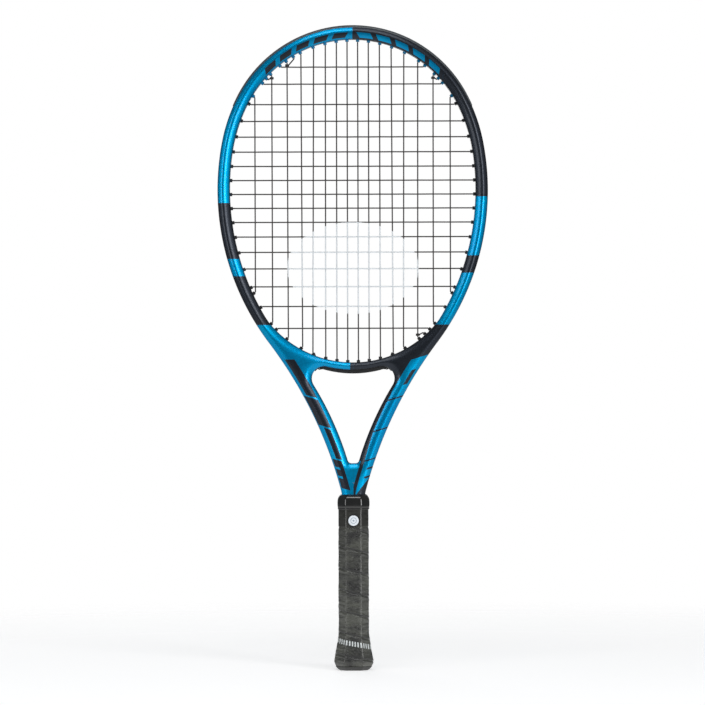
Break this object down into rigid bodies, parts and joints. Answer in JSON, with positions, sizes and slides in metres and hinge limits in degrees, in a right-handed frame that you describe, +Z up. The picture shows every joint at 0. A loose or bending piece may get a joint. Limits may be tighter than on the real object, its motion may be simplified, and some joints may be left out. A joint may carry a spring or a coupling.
{
  "type": "tennis racket",
  "caption": "Strung junior tennis racket with an oval head, open throat, woven string bed, wrapped octagonal grip, rubber collar and flared butt cap with a push-in lid.",
  "frame": {"origin": "middle of the butt cap's bottom face, where the racket stands", "axes": "+Z up the handle to the head, +X across the string bed, -Y out of the front face"},
  "size_m": [0.2662, 0.037, 0.635],
  "materials": {
    "frame_lacquer": "gloss lacquer over a moulded composite tube, in blue and dark slate blocks",
    "bumper_nylon": "satin moulded nylon",
    "blue_nylon": "satin moulded nylon",
    "black_nylon": "satin moulded nylon",
    "string": "drawn nylon string",
    "pallet_foam": "moulded polyurethane skin",
    "butt_plastic": "satin moulded plastic",
    "steel": "drawn wire",
    "grip_skin": "smooth cushioned polyurethane grip tape",
    "tape_vinyl": "stretched vinyl tape",
    "disc_white": "printed dot with a black rim",
    "collar_rubber": "glossy moulded rubber"
  },
  "bodies": {
    "racket": {"frame_tube": "frame_lacquer", "throat_bridge": "frame_lacquer", "throat_wedge": "frame_lacquer", "bumper_guard": "bumper_nylon", "top_grommet_strip": "blue_nylon", "left_grommet_strip": "black_nylon", "right_grommet_strip": "black_nylon", "bridge_grommet_strip": "black_nylon", "main_string": "string", "cross_string": "string", "string_knots": "string", "handle_pallet": "pallet_foam", "butt_cap": "butt_plastic", "butt_cap_staples": "steel", "grip_tack": "steel", "grip_wrap": "grip_skin", "finishing_tape": "tape_vinyl", "grip_disc": "disc_white", "grip_collar": "collar_rubber"},
    "lid": {"butt_cap_lid": "butt_plastic"}
  },
  "joints": [
    {"name": "lid_pull", "type": "slide", "parent": "racket", "child": "lid", "axis": [0, 0, -1], "range_m": [0, 0.012]}
  ]
}
